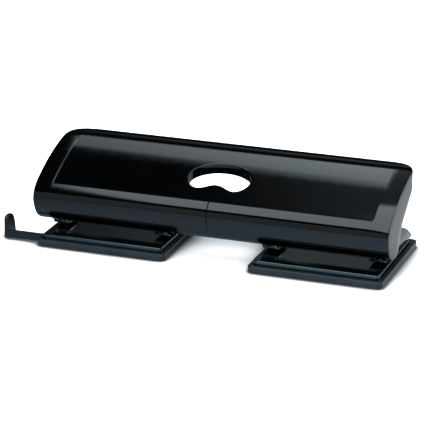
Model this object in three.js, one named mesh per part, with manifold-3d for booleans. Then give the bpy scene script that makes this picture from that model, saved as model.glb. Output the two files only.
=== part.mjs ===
// Four-hole desk punch: two punching units under one long handle, with a sliding paper guide.
// Millimetres, +Z up. The design frame has X = 0 midway between the units, Y = 0 at the front of the
// feet and Z = 0 at the table. The whole punch is shifted at the end so that the origin is the centre
// of its footprint.
import * as THREE from 'three';
import Module from 'manifold-3d';

const wasm = await Module();
wasm.setup();

// ---------------------------------------------------------------- driving dimensions

const HOLE_PITCH = 80; // between neighbouring holes of the 4 x 80 mm filing pattern
const UNIT_X = [-HOLE_PITCH, HOLE_PITCH]; // centre of each punching unit
const PIN_X = HOLE_PITCH / 2; // pin distance from the centre of its unit
const PIN_Y = 30;
const PIN_R = 2.75;
const STOP_Y = PIN_Y + 12; // the paper's edge stops 12 mm behind the hole centres
const GAP = 0.3; // clearance between touching pieces

const FOOT_HALF = 49;
const FOOT_DEPTH = 95.5;
const TRAY_TOP = 5.2;
const TRAY_FLOOR = 1.8;
const LEDGE_TOP = 3.3;

const PLATE_HALF = 45.7;
const PLATE_FRONT = 4;
const PLATE_REAR = 87;
const PLATE_TOP = 8.5;
const PLATE_SHEET = 1.4;

const SHEET = 1.2; // steel of the punch frames and guides
const FRAME_HALF = 46.2;
const THROAT_TOP = 11; // the paper slot runs from the plate up to here
const GUIDE_PAD_INNER = 33; // the frame reaches over the plate only beside the pins
const LOW_STOP_TOP = 10.4; // paper stop between the two guide pads
const UPPER_GUIDE_Z = 19.6;

const PIVOT = { y: 13, z: 29 };
const AXLE_R = 2.5;
const AXLE_HALF = 128.2;
const BOSS_AROUND_AXLE = 4.4;
const AXLE_CLIP_X = FRAME_HALF + HOLE_PITCH + GAP;

const COVER_HALF = 132;
const COVER_WALL = 2.4;
const COVER_REAR = 83.3;
const COVER_CORNER = 22.5;
const PANEL_HALF = 119.3;
const PANEL_FRONT = 8.6;
const PANEL_REAR = 61.8;
const HAND_HOLE_HALF = 23;
const HAND_HOLE_RIM = 7.2;

const SLOPE = THREE.MathUtils.degToRad(21.5); // of the handle top and of the levers under it
const LEVER_ORIGIN = { y: 28.2, z: 41.5 }; // on the lever plate's underside, above the pins
const LEVER_SHEET = 2;
const LEVER_HALF = 41.4;
const PRESS_RIB_R = 3.7;
const PIN_REST_TOP = 37;
const PIN_REST_TIP = 11.3;

const GUIDE_BAR = { y0: 7, y1: 9.2, z0: 1.2, z1: 6.9, inner: -60, stopFace: -154.5 };
const GUIDE_STOP_THICK = 2.5;

// ---------------------------------------------------------------- materials

const gloss = { color: 0x0d1013, roughness: 0.18, metalness: 0 };
const satinPlastic = { color: 0x14181c, roughness: 0.4, metalness: 0 };
const enamel = { color: 0x101317, roughness: 0.25, metalness: 0.2 };
const steel = { color: 0xaeb2b6, roughness: 0.35, metalness: 1 };
const zinc = { color: 0xc4c7ca, roughness: 0.4, metalness: 1 };

// ---------------------------------------------------------------- solids from three.js geometry

function solid(geometry) {
  const bare = geometry.index ? geometry.toNonIndexed() : geometry.clone();
  const position = bare.getAttribute('position');
  const mesh = new wasm.Mesh({
    numProp: 3,
    vertProperties: new Float32Array(position.array),
    triVerts: Uint32Array.from({ length: position.count }, (_, i) => i),
  });
  mesh.merge();
  return new wasm.Manifold(mesh);
}

function box(x, y, z) {
  const geometry = new THREE.BoxGeometry(x[1] - x[0], y[1] - y[0], z[1] - z[0]);
  geometry.translate((x[0] + x[1]) / 2, (y[0] + y[1]) / 2, (z[0] + z[1]) / 2);
  return solid(geometry);
}

// A cylinder from `from` to `to` along one axis, through the other two coordinates of `at`.
function rod(axis, r, from, to, at, segments = 24) {
  const geometry = new THREE.CylinderGeometry(r, r, to - from, segments);
  if (axis === 'x') geometry.rotateZ(-Math.PI / 2);
  if (axis === 'z') geometry.rotateX(Math.PI / 2);
  const centre = { x: 0, y: 0, z: 0, ...at };
  centre[axis] = (from + to) / 2;
  geometry.translate(centre.x, centre.y, centre.z);
  return solid(geometry);
}

// An outline drawn in (Y, Z), extruded from x0 to x1.
function alongX(shape, x0, x1, curveSegments = 12) {
  const geometry = new THREE.ExtrudeGeometry(shape, { depth: x1 - x0, bevelEnabled: false, curveSegments });
  const basis = new THREE.Matrix4().makeBasis(
    new THREE.Vector3(0, 1, 0),
    new THREE.Vector3(0, 0, 1),
    new THREE.Vector3(1, 0, 0),
  );
  geometry.applyMatrix4(basis);
  geometry.translate(x0, 0, 0);
  return solid(geometry);
}

// An outline drawn in (X, Y), extruded from z0 to z1.
function alongZ(shape, z0, z1, curveSegments = 12) {
  const geometry = new THREE.ExtrudeGeometry(shape, { depth: z1 - z0, bevelEnabled: false, curveSegments });
  geometry.translate(0, 0, z0);
  return solid(geometry);
}

function roundedRectangle(x0, x1, y0, y1, frontR, rearR) {
  const shape = new THREE.Shape();
  shape.moveTo(x0 + frontR, y0);
  shape.lineTo(x1 - frontR, y0);
  shape.absarc(x1 - frontR, y0 + frontR, frontR, -Math.PI / 2, 0);
  shape.absarc(x1 - rearR, y1 - rearR, rearR, 0, Math.PI / 2);
  shape.absarc(x0 + rearR, y1 - rearR, rearR, Math.PI / 2, Math.PI);
  shape.absarc(x0 + frontR, y0 + frontR, frontR, Math.PI, 1.5 * Math.PI);
  return shape;
}

function outline(points) {
  return new THREE.Shape(points.map(([a, b]) => new THREE.Vector2(a, b)));
}

// Moves a solid drawn in the lever's own frame (u up the slope, v square to it) into place.
function onSlope(piece) {
  return piece
    .rotate([THREE.MathUtils.radToDeg(SLOPE), 0, 0])
    .translate([0, LEVER_ORIGIN.y, LEVER_ORIGIN.z]);
}

// A rivet: shank with a head at each end, standing on +Z and centred on the origin in X and Y.
function rivet(shankR, headR, shank, headThickness) {
  const profile = [
    [0, -headThickness],
    [headR * 0.7, -headThickness],
    [headR, 0],
    [shankR, 0],
    [shankR, shank],
    [headR, shank],
    [headR * 0.7, shank + headThickness],
    [0, shank + headThickness],
  ];
  const geometry = new THREE.LatheGeometry(profile.map(([r, z]) => new THREE.Vector2(r, z)), 10);
  geometry.rotateX(Math.PI / 2);
  return solid(geometry);
}

// A spring clip: an open ring, lying in XY around the origin.
function openRing(innerR, outerR, thickness) {
  const mouth = Math.PI / 6;
  const shape = new THREE.Shape();
  shape.absarc(0, 0, outerR, mouth, 2 * Math.PI - mouth, false);
  shape.absarc(0, 0, innerR, 2 * Math.PI - mouth, mouth, true);
  return alongZ(shape, 0, thickness);
}

// ---------------------------------------------------------------- handle

// Outside of the cover in the (Y, Z) plane, from the lip under the front to the rear edge.
const coverCurve = new THREE.SplineCurve(
  [
    [15.3, 17.1],
    [9.3, 20.8],
    [4.4, 28],
    [2.4, 35],
    [3.7, 40.3],
    [8.6, 46],
    [13.2, 49],
    [22.2, 53.7],
    [32.3, 58.2],
    [44, 62.3],
    [56, 65.5],
    [66, 67.1],
    [74, 67.4],
    [COVER_REAR, 66],
  ].map(([y, z]) => new THREE.Vector2(y, z)),
);

// Top panel in the (Y, Z) plane: flatter than the cover, so it sinks into it between the two ends.
const panelCurve = new THREE.SplineCurve(
  [
    [8, 45.4],
    [PANEL_FRONT, 45.8],
    [13.2, 48.2],
    [18, 50.6],
    [22.2, 52.5],
    [32.3, 56.9],
    [44, 61.2],
    [54, 64.5],
    [PANEL_REAR, 66.5],
    [65, 67.3],
  ].map(([y, z]) => new THREE.Vector2(y, z)),
);
const COVER_STEPS = 34;

// The cover's outside curve, moved inwards by `depth`.
function insetCurve(depth) {
  return Array.from({ length: COVER_STEPS + 1 }, (_, i) => {
    const point = coverCurve.getPoint(i / COVER_STEPS);
    const along = coverCurve.getTangent(i / COVER_STEPS);
    return [point.x + along.y * depth, point.y - along.x * depth];
  });
}

function coverEndOutline() {
  return outline([
    ...insetCurve(0),
    [COVER_REAR, 56.5],
    [72, 55.2],
    [66, 53.3],
    [61.7, 51],
    [53.9, 45.5],
    [39, 35],
    [31.7, 19.8],
    [30.3, 18.2],
    [23.6, 15.8],
  ]);
}

// Everything above the top panel.
function abovePanel() {
  const top = panelCurve.getPoints(24).map(({ x, y }) => [x, y]);
  const [first, last] = [top[0], top[top.length - 1]];
  return alongX(outline([...top, [last[0], 90], [first[0], 90]]), -COVER_HALF, COVER_HALF);
}

// Kidney-shaped finger opening: a round back and a front with a bump in the middle.
function handHole(grow) {
  const half = HAND_HOLE_HALF + grow;
  const shape = new THREE.Shape();
  shape.moveTo(half, 32);
  shape.absellipse(0, 32, half, 14.5 + grow, 0, Math.PI, false, 0);
  shape.splineThru(
    [
      [-20.8 - grow, 24.7],
      [-13, 20.9 - grow],
      [-6, 23.5 - grow],
      [0, 25.2 - grow],
      [6, 23.5 - grow],
      [13, 20.9 - grow],
      [20.8 + grow, 24.7],
      [half, 32],
    ].map(([x, y]) => new THREE.Vector2(x, y)),
  );
  return shape;
}

const BOSS_X = 20;
const BOSS_U = 8;
const BOSS_R = 3.4;
const SCREW_R = 1.4;

function makeCover() {
  const wall = outline([...insetCurve(0), ...insetCurve(COVER_WALL).reverse()]);
  let cover = alongX(wall, -COVER_HALF, COVER_HALF);
  for (const side of [-1, 1]) {
    const faces = [side * COVER_HALF, side * (COVER_HALF - COVER_WALL)].sort((a, b) => a - b);
    cover = cover.add(alongX(coverEndOutline(), faces[0], faces[1]));
  }
  // Skirt under the rear edge, and the wall that follows the rounded rear corners.
  const plan = (inset) =>
    alongZ(
      roundedRectangle(
        -COVER_HALF + inset,
        COVER_HALF - inset,
        -5,
        COVER_REAR - inset,
        2,
        COVER_CORNER - inset,
      ),
      0,
      80,
    );
  const rim = plan(0).subtract(plan(COVER_WALL));
  const endSolid = alongX(coverEndOutline(), -COVER_HALF, COVER_HALF);
  const rearRim = rim.intersect(endSolid).intersect(box([-140, 140], [60, 90], [40, 80]));
  cover = cover.add(rearRim).intersect(plan(0));

  const panel = alongZ(roundedRectangle(-PANEL_HALF, PANEL_HALF, PANEL_FRONT, PANEL_REAR, 2, 2), 30, 90);
  const panelCut = panel.intersect(abovePanel());

  const belowTop = alongX(
    outline([...insetCurve(0.5), ...insetCurve(HAND_HOLE_RIM).reverse()]),
    -40,
    40,
  );
  const rimWall = alongZ(handHole(COVER_WALL), 30, 80, 16).intersect(belowTop);
  for (const x of UNIT_X) {
    for (const side of [-1, 1]) {
      const boss = rod('z', BOSS_R, LEVER_SHEET + GAP, 12.2, { x: x + side * BOSS_X, y: BOSS_U }, 16);
      cover = cover.add(onSlope(boss));
    }
  }
  cover = cover.add(rimWall).subtract(alongZ(handHole(0), 20, 90, 16)).subtract(panelCut);

  // Alignment groove down the middle of the front.
  const groove = outline([...insetCurve(-2), ...insetCurve(1).reverse()]);
  cover = cover.subtract(alongX(groove, -0.5, 0.5).intersect(box([-1, 1], [-5, 8.9], [25, 50])));
  for (const x of UNIT_X) {
    for (const side of [-1, 1]) {
      const at = { x: x + side * BOSS_X, y: BOSS_U };
      cover = cover.subtract(onSlope(rod('z', SCREW_R + GAP, 0, 9.6, at, 12)));
    }
  }
  return cover;
}

// One stamped steel lever: sloping plate, side cheeks down to the axle and a rounded press rib.
function makeLever(x) {
  const plateU = [-20.5, 34];
  let lever = onSlope(box([x - LEVER_HALF, x + LEVER_HALF], plateU, [0, LEVER_SHEET]));
  const rib = { y: LEVER_ORIGIN.y, z: LEVER_ORIGIN.z - 0.5 };
  lever = lever.add(rod('x', PRESS_RIB_R, x - LEVER_HALF, x + LEVER_HALF, rib, 20).intersect(
    box([x - 50, x + 50], [0, 60], [30, rib.z + 2]),
  ));
  const cheek = new THREE.Shape();
  cheek.moveTo(PIVOT.y + 4.5, PIVOT.z - 2);
  cheek.lineTo(PIVOT.y + 9, PIVOT.z + 5);
  cheek.lineTo(PIVOT.y + 12, PIVOT.z + 9.3);
  cheek.lineTo(PIVOT.y + 24, PIVOT.z + 13);
  cheek.lineTo(PIVOT.y + 46.6, PIVOT.z + 21.4);
  cheek.lineTo(PIVOT.y + 46.1, PIVOT.z + 25.2);
  cheek.lineTo(PIVOT.y - 3.6, PIVOT.z + 5.8);
  cheek.absarc(PIVOT.y, PIVOT.z, BOSS_AROUND_AXLE, Math.PI * 0.75, Math.PI * 1.8, false);
  for (const side of [-1, 1]) {
    const faces = [x + side * LEVER_HALF, x + side * (LEVER_HALF - 1.5)].sort((a, b) => a - b);
    lever = lever.add(alongX(cheek, faces[0], faces[1]));
  }
  lever = lever.subtract(rod('x', AXLE_R + GAP, x - 50, x + 50, PIVOT));
  for (const side of [-1, 1]) {
    const screwHole = rod('z', SCREW_R + GAP, -5, 5, { x: x + side * BOSS_X, y: BOSS_U }, 12);
    const rivetHole = rod('z', 1.5 + GAP, -5, 5, { x: x + side * CROSSBAR.rivetX, y: CROSSBAR.u }, 12);
    lever = lever.subtract(onSlope(screwHole)).subtract(onSlope(rivetHole));
  }
  return lever;
}

const CROSSBAR = { half: 121, u: -15.75, width: 6.5, thick: 4, rivetX: 30 };

// Steel bar that joins the two levers, along the front under the cover.
function makeCrossbar() {
  const v0 = LEVER_SHEET + GAP;
  const across = [CROSSBAR.u - CROSSBAR.width / 2, CROSSBAR.u + CROSSBAR.width / 2];
  let bar = box([-CROSSBAR.half, CROSSBAR.half], across, [v0, v0 + CROSSBAR.thick]);
  for (const x of UNIT_X) {
    for (const side of [-1, 1]) {
      bar = bar.subtract(rod('z', 1.5 + GAP, 0, 10, { x: x + side * CROSSBAR.rivetX, y: CROSSBAR.u }, 12));
    }
  }
  return onSlope(bar);
}

function makeCrossbarRivet(x) {
  const shank = LEVER_SHEET + CROSSBAR.thick + 3 * GAP;
  return onSlope(rivet(1.5, 2.3, shank, 0.9).translate([x, CROSSBAR.u, -GAP]));
}

// Pan-head screw, driven up through the lever into the cover's boss.
function makeCoverScrew(x) {
  const profile = [
    [0, -2.3],
    [2, -2.3],
    [3, -1.3],
    [3, -GAP],
    [SCREW_R, -GAP],
    [SCREW_R, 8.4],
    [0, 9.2],
  ];
  const geometry = new THREE.LatheGeometry(profile.map(([r, z]) => new THREE.Vector2(r, z)), 16);
  geometry.rotateX(Math.PI / 2);
  const slot = box([-1.6, 1.6], [-0.35, 0.35], [-3, -1.5]);
  const recess = slot.add(slot.rotate([0, 0, 90]));
  return onSlope(solid(geometry).subtract(recess).translate([x, BOSS_U, 0]));
}

// ---------------------------------------------------------------- base

const FRAME_RIVET = { x: 30, y: 62, r: 1.5, headR: 3 };

// Enamelled steel plate with folded-down edges, the two die holes and the frame's rivet holes.
function makeBasePlate(x) {
  const shell = (inset, z0, z1) =>
    alongZ(
      roundedRectangle(
        x - PLATE_HALF + inset,
        x + PLATE_HALF - inset,
        PLATE_FRONT + inset,
        PLATE_REAR - inset,
        3 - inset,
        3 - inset,
      ),
      z0,
      z1,
      3,
    );
  const skirtBottom = LEDGE_TOP + GAP;
  let plate = shell(0, skirtBottom, PLATE_TOP - 0.7).add(shell(0.7, skirtBottom, PLATE_TOP));
  plate = plate.subtract(shell(PLATE_SHEET, 0, PLATE_TOP - PLATE_SHEET));
  for (const side of [-1, 1]) {
    plate = plate.subtract(rod('z', PIN_R + 0.12, 0, 20, { x: x + side * PIN_X, y: PIN_Y }));
    plate = plate.subtract(
      rod('z', FRAME_RIVET.r + GAP, 0, 20, { x: x + side * FRAME_RIVET.x, y: FRAME_RIVET.y }, 12),
    );
  }
  return plate;
}

const DETENT = { x: -106, half: 12, y: 12.6 };

// The left plate also carries the guide bar: a notch in its edge and two lugs for the detent spring.
function makeGuidedBasePlate(x) {
  let plate = makeBasePlate(x);
  for (const side of [-1, 1]) {
    const near = DETENT.x + side * (DETENT.half + GAP);
    const far = DETENT.x + side * (DETENT.half + GAP + 1.2);
    plate = plate.add(box([near, far].sort((a, b) => a - b), [11, 14.5], [4, PLATE_TOP - 1]));
  }
  const notchY = [GUIDE_BAR.y0 - GAP, GUIDE_BAR.y1 + GAP];
  const edge = x - PLATE_HALF;
  return plate.subtract(box([edge - 1, edge + 2], notchY, [0, PLATE_TOP - PLATE_SHEET]));
}

// Stamped frame: floor riveted to the plate, paper stop, a guide pad at each pin and two side cheeks.
function makePunchFrame(x) {
  const inner = [x - FRAME_HALF + 1, x + FRAME_HALF - 1];
  const floorZ = PLATE_TOP + GAP;
  const stopY = [STOP_Y, STOP_Y + SHEET];
  let frame = box(inner, [STOP_Y, 85], [floorZ, floorZ + SHEET]);
  frame = frame.add(box(inner, stopY, [floorZ, LOW_STOP_TOP]));
  for (const side of [-1, 1]) {
    const pad = [x + side * GUIDE_PAD_INNER, x + side * (FRAME_HALF - 1)].sort((a, b) => a - b);
    frame = frame.add(box(pad, stopY, [floorZ, THROAT_TOP + SHEET]));
    frame = frame.add(box(pad, [24.5, STOP_Y + SHEET], [THROAT_TOP, THROAT_TOP + SHEET]));
  }
  const cheek = new THREE.Shape();
  cheek.moveTo(PIVOT.y - 1.2, PIVOT.z - 4.2);
  cheek.lineTo(15.6, 20.8);
  cheek.lineTo(27.6, THROAT_TOP);
  cheek.lineTo(STOP_Y, THROAT_TOP);
  cheek.lineTo(STOP_Y + 1, floorZ + SHEET - 0.1);
  cheek.lineTo(88.4, floorZ + SHEET - 0.1);
  cheek.quadraticCurveTo(89.8, 10.2, 88.6, 11);
  cheek.lineTo(76.2, 18.8);
  cheek.lineTo(65.5, 23.8);
  cheek.lineTo(PIVOT.y + 1.2, PIVOT.z + 4.4);
  cheek.absarc(PIVOT.y, PIVOT.z, BOSS_AROUND_AXLE, Math.PI * 0.42, Math.PI * 1.38, false);
  for (const side of [-1, 1]) {
    const faces = [x + side * FRAME_HALF, x + side * (FRAME_HALF - SHEET)].sort((a, b) => a - b);
    frame = frame.add(alongX(cheek, faces[0], faces[1], 8));
  }
  frame = frame.subtract(rod('x', AXLE_R + 0.15, x - 50, x + 50, PIVOT));
  frame = frame.subtract(rod('x', UPPER_GUIDE.rivetR + GAP, x - 50, x + 50, UPPER_GUIDE.rivet, 12));
  for (const side of [-1, 1]) {
    frame = frame.subtract(rod('z', PIN_R + 0.12, 5, 20, { x: x + side * PIN_X, y: PIN_Y }));
    const rivetHole = { x: x + side * FRAME_RIVET.x, y: FRAME_RIVET.y };
    frame = frame.subtract(rod('z', FRAME_RIVET.r + GAP, 5, 20, rivetHole, 12));
  }
  const innerFace = x > 0 ? x - FRAME_HALF : x + FRAME_HALF - SHEET;
  for (const z of LINK.rivetZ) {
    const hole = { y: LINK.rivetY, z };
    frame = frame.subtract(rod('x', 1.2 + GAP, innerFace - 0.5, innerFace + SHEET + 0.5, hole, 12));
  }
  return frame;
}

const UPPER_GUIDE = {
  half: FRAME_HALF - SHEET - GAP,
  y0: 24.5,
  y1: 42.5,
  tabTop: 27,
  rivet: { y: 39.5, z: 24.2 },
  rivetR: 1.2,
};

// Flat guide that the pins slide through and the springs stand on, held by two upturned tabs.
function makeUpperGuide(x) {
  const { half, y0, y1 } = UPPER_GUIDE;
  let guide = box([x - half, x + half], [y0, y1], [UPPER_GUIDE_Z, UPPER_GUIDE_Z + SHEET]);
  for (const side of [-1, 1]) {
    const faces = [x + side * half, x + side * (half - SHEET)].sort((a, b) => a - b);
    guide = guide.add(box(faces, [36.5, y1], [UPPER_GUIDE_Z, UPPER_GUIDE.tabTop]));
    guide = guide.subtract(rod('z', PIN_R + 0.12, 10, 30, { x: x + side * PIN_X, y: PIN_Y }));
  }
  return guide.subtract(rod('x', UPPER_GUIDE.rivetR + GAP, x - 50, x + 50, UPPER_GUIDE.rivet, 12));
}

function makeGuideRivet(x, side) {
  const start = UPPER_GUIDE.half - SHEET - GAP;
  const shank = FRAME_HALF - start + GAP;
  const piece = rivet(UPPER_GUIDE.rivetR, 2.2, shank, 0.5).rotate([0, side * 90, 0]);
  return piece.translate([x + side * start, UPPER_GUIDE.rivet.y, UPPER_GUIDE.rivet.z]);
}

function makeFrameRivet(x) {
  const bottom = PLATE_TOP - PLATE_SHEET - GAP;
  const shank = PLATE_TOP + SHEET + 2 * GAP - bottom;
  return rivet(FRAME_RIVET.r, FRAME_RIVET.headR, shank, 1).translate([x, FRAME_RIVET.y, bottom]);
}

const LINK = { y0: 17.5, y1: 31, z0: 17, z1: 31, rivetY: 22, rivetZ: [19.5, 24.5] };

// Steel channel that ties the two punching units together, open downwards, with closed ends.
function makeLinkChannel() {
  const half = HOLE_PITCH - FRAME_HALF - GAP;
  const { y0, y1, z0, z1 } = LINK;
  let channel = box([-half, half], [y0, y1], [z0, z1]);
  channel = channel.subtract(box([-half + SHEET, half - SHEET], [y0 + SHEET, y1 - SHEET], [0, z1 - SHEET]));
  for (const z of LINK.rivetZ) {
    channel = channel.subtract(rod('x', 1.2 + GAP, -50, 50, { y: LINK.rivetY, z }, 12));
  }
  return channel;
}

function makeLinkRivet(side, z) {
  const start = HOLE_PITCH - FRAME_HALF - SHEET - 2 * GAP;
  const piece = rivet(1.2, 2.2, 2 * SHEET + 3 * GAP, 0.8).rotate([0, side * 90, 0]);
  return piece.translate([side * start, LINK.rivetY, z]);
}

function makeAxle() {
  const groove = [AXLE_CLIP_X - 0.2, AXLE_CLIP_X + 1.1];
  let axle = rod('x', AXLE_R, -AXLE_HALF, AXLE_HALF, PIVOT);
  for (const side of [-1, 1]) {
    const faces = groove.map((x) => side * x).sort((a, b) => a - b);
    const ring = rod('x', AXLE_R + 2, faces[0], faces[1], PIVOT).subtract(rod('x', 2, -130, 130, PIVOT));
    axle = axle.subtract(ring);
  }
  return axle;
}

function makeAxleClip(side) {
  const clip = openRing(2.25, 4.6, 0.8).rotate([0, 90, 0]);
  const x = side > 0 ? AXLE_CLIP_X : -AXLE_CLIP_X - 0.8;
  return clip.translate([x, PIVOT.y, PIVOT.z]);
}

const CLIP_Z = 34;
const PIN_CLIP_THICK = 0.7;

// Punch pin: hollow-ground tip, clip groove and slightly rounded top.
function makePin(x) {
  const profile = [
    [0, PIN_REST_TIP + 1.1],
    [PIN_R, PIN_REST_TIP],
    [PIN_R, CLIP_Z - 0.3],
    [2.2, CLIP_Z - 0.3],
    [2.2, CLIP_Z + PIN_CLIP_THICK + 0.3],
    [PIN_R, CLIP_Z + PIN_CLIP_THICK + 0.3],
    [PIN_R, PIN_REST_TOP - 0.8],
    [PIN_R - 0.8, PIN_REST_TOP],
    [0, PIN_REST_TOP],
  ];
  const geometry = new THREE.LatheGeometry(profile.map(([r, z]) => new THREE.Vector2(r, z)), 24);
  geometry.rotateX(Math.PI / 2);
  return solid(geometry).translate([x, PIN_Y, 0]);
}

function makePinClip(x) {
  return openRing(2.45, 3.9, PIN_CLIP_THICK).rotate([0, 0, 90]).translate([x, PIN_Y, CLIP_Z]);
}

// Centreline of a compression spring.
class Helix extends THREE.Curve {
  constructor(radius, turns, z0, z1) {
    super();
    Object.assign(this, { radius, turns, z0, z1 });
  }

  getPoint(t, target = new THREE.Vector3()) {
    const angle = 2 * Math.PI * this.turns * t;
    const z = THREE.MathUtils.lerp(this.z0, this.z1, t);
    return target.set(this.radius * Math.cos(angle), this.radius * Math.sin(angle), z);
  }
}

const SPRING = { wireR: 0.4, meanR: 3.45, turns: 5, sides: 3, stepsPerTurn: 10 };

function makeSpring(x) {
  const z0 = UPPER_GUIDE_Z + SHEET + GAP + SPRING.wireR;
  const z1 = CLIP_Z - GAP - SPRING.wireR;
  const section = new THREE.Shape();
  section.absarc(0, 0, SPRING.wireR, 0, 2 * Math.PI);
  const geometry = new THREE.ExtrudeGeometry(section, {
    extrudePath: new Helix(SPRING.meanR, SPRING.turns, z0, z1),
    steps: SPRING.turns * SPRING.stepsPerTurn,
    curveSegments: SPRING.sides,
  });
  return solid(geometry).translate([x, PIN_Y, 0]);
}

// Chip tray under one unit: the outer foot, a ledge for the plate and a shallow floor.
function makeTray(x) {
  const foot = (inset, z0, z1) =>
    alongZ(
      roundedRectangle(x - FOOT_HALF + inset, x + FOOT_HALF - inset, inset, FOOT_DEPTH - inset, 3.5, 3.5),
      z0,
      z1,
      3,
    );
  const pocket = (inset, z0) =>
    alongZ(
      roundedRectangle(
        x - PLATE_HALF - GAP + inset,
        x + PLATE_HALF + GAP - inset,
        PLATE_FRONT - GAP + inset,
        PLATE_REAR + GAP - inset,
        2.6,
        2.6,
      ),
      z0,
      20,
      2,
    );
  const tray = foot(1.2, 0, TRAY_TOP).add(foot(0.5, 0.4, TRAY_TOP)).add(foot(0, 1.1, TRAY_TOP - 0.5));
  return tray.subtract(pocket(0, LEDGE_TOP)).subtract(pocket(2.6, TRAY_FLOOR));
}

// The left tray has a groove for the guide bar.
function makeGuidedTray(x) {
  const across = [GUIDE_BAR.y0 - GAP, GUIDE_BAR.y1 + GAP];
  return makeTray(x).subtract(box([x - 55, x + PLATE_HALF + 0.7], across, [GUIDE_BAR.z0 - GAP, 20]));
}

// Sliding bar with the upright stop that the paper's edge is pushed against.
function makePaperGuide() {
  const { y0, y1, z0, z1, inner, stopFace } = GUIDE_BAR;
  const outer = stopFace - GUIDE_STOP_THICK;
  const tab = new THREE.Shape();
  tab.moveTo(y0, z0);
  tab.lineTo(22.5, z0);
  tab.bezierCurveTo(21.6, 9, 19.5, 17, 14.2, 17);
  tab.lineTo(y0 + 3.5, 17);
  tab.quadraticCurveTo(y0, 17, y0, 13.5);
  const stop = alongX(tab, outer, stopFace, 10);
  const bar = box([outer + 0.5, inner], [y0, y1], [z0, z1]);
  const detents = [-20, -10, 0, 10, 20].map((step) =>
    rod('z', 1, 0, 10, { x: DETENT.x + step, y: y1 + 0.6 }, 10),
  );
  return detents.reduce((guide, notch) => guide.subtract(notch), stop.add(bar));
}

// Bowed leaf spring that presses on the back of the guide bar.
function makeDetentSpring() {
  const { x, half, y } = DETENT;
  const crest = GUIDE_BAR.y1 + GAP;
  const leaf = 0.4;
  const shape = new THREE.Shape();
  shape.moveTo(x - half, y);
  shape.quadraticCurveTo(x, 2 * crest - y, x + half, y);
  shape.lineTo(x + half, y + leaf);
  shape.quadraticCurveTo(x, 2 * (crest + leaf) - y - leaf, x - half, y + leaf);
  return alongZ(shape, 4, 6.6, 12);
}

// ---------------------------------------------------------------- assembly

const punch = new THREE.Group();
punch.name = 'hole_punch';

function place(name, piece, look) {
  const made = piece.getMesh();
  const geometry = new THREE.BufferGeometry();
  geometry.setAttribute('position', new THREE.BufferAttribute(made.vertProperties, 3));
  geometry.setIndex(new THREE.BufferAttribute(made.triVerts, 1));
  const mesh = new THREE.Mesh(geometry, new THREE.MeshStandardMaterial(look));
  mesh.name = name;
  punch.add(mesh);
}

const SIDE_NAMES = ['left', 'right'];

place('handle_cover', makeCover(), gloss);
place('handle_crossbar', makeCrossbar(), zinc);
place('pivot_axle', makeAxle(), steel);
place('link_channel', makeLinkChannel(), zinc);
place('base_plate_left', makeGuidedBasePlate(UNIT_X[0]), enamel);
place('base_plate_right', makeBasePlate(UNIT_X[1]), enamel);
place('chip_tray_left', makeGuidedTray(UNIT_X[0]), satinPlastic);
place('chip_tray_right', makeTray(UNIT_X[1]), satinPlastic);
place('paper_guide', makePaperGuide(), satinPlastic);
place('guide_detent_spring', makeDetentSpring(), steel);

let count = 0;
UNIT_X.forEach((x, unit) => {
  const name = SIDE_NAMES[unit];
  const unitSide = Math.sign(x);
  place(`lever_${name}`, makeLever(x), zinc);
  place(`punch_frame_${name}`, makePunchFrame(x), enamel);
  place(`upper_pin_guide_${name}`, makeUpperGuide(x), zinc);
  place(`axle_clip_${name}`, makeAxleClip(unitSide), steel);
  LINK.rivetZ.forEach((z, i) => {
    place(`link_rivet_${name}_${i + 1}`, makeLinkRivet(unitSide, z), zinc);
  });
  for (const side of [-1, 1]) {
    count += 1;
    place(`punch_pin_${count}`, makePin(x + side * PIN_X), steel);
    place(`pin_clip_${count}`, makePinClip(x + side * PIN_X), steel);
    place(`return_spring_${count}`, makeSpring(x + side * PIN_X), steel);
    place(`cover_screw_${count}`, makeCoverScrew(x + side * BOSS_X), zinc);
    place(`crossbar_rivet_${count}`, makeCrossbarRivet(x + side * CROSSBAR.rivetX), zinc);
    place(`frame_rivet_${count}`, makeFrameRivet(x + side * FRAME_RIVET.x), zinc);
    place(`guide_rivet_${count}`, makeGuideRivet(x, side), zinc);
  }
});

// Origin at the centre of the footprint: the guide's stop reaches out on the left.
const leftEnd = GUIDE_BAR.stopFace - GUIDE_STOP_THICK;
punch.position.set(-(leftEnd + COVER_HALF) / 2, -FOOT_DEPTH / 2, 0);

const group = new THREE.Group();
group.add(punch);

export default group;
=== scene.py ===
"""Four-hole desk punch: visual model in the CAD frame.

Sizes are in millimetres in the punch's design frame: X = 0 midway between the two units, Y = 0 at the
front of the feet, Z = 0 on the table. They are turned into the CAD frame when a mesh is made.
"""

import math

import bmesh
import bpy
import numpy as np
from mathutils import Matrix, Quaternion, Vector
from mathutils.geometry import delaunay_2d_cdt


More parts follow.
